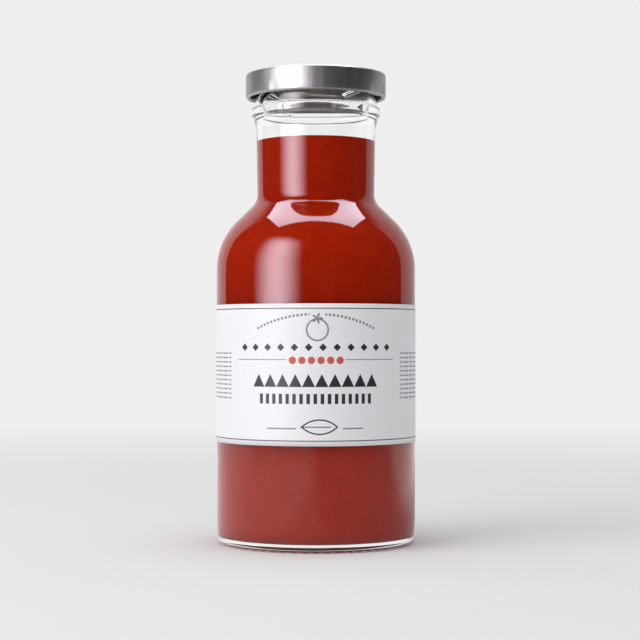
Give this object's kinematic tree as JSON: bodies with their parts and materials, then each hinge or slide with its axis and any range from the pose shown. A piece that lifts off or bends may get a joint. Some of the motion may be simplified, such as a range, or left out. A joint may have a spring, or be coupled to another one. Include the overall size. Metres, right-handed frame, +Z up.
{
  "type": "bottle of tomato ketchup",
  "caption": "Clear glass wide-neck bottle filled with tomato ketchup, closed by a silver twist-off cap and dressed with a white wrap-round paper label.",
  "frame": {"origin": "on the table under the bottle's axis, level with the bearing ring", "axes": "+Z up along the bottle's axis; the middle of the label faces -Y"},
  "size_m": [0.0648, 0.0647, 0.152],
  "materials": {
    "clear_glass": "clear, polished",
    "ketchup": "wet, smooth and opaque against the glass",
    "tinplate": "bright, slightly satin",
    "label_paper": "smooth, matt"
  },
  "bodies": {
    "root": {"bottle": "clear_glass", "sauce": "ketchup", "cap": "tinplate", "label": "label_paper"}
  },
  "joints": []
}
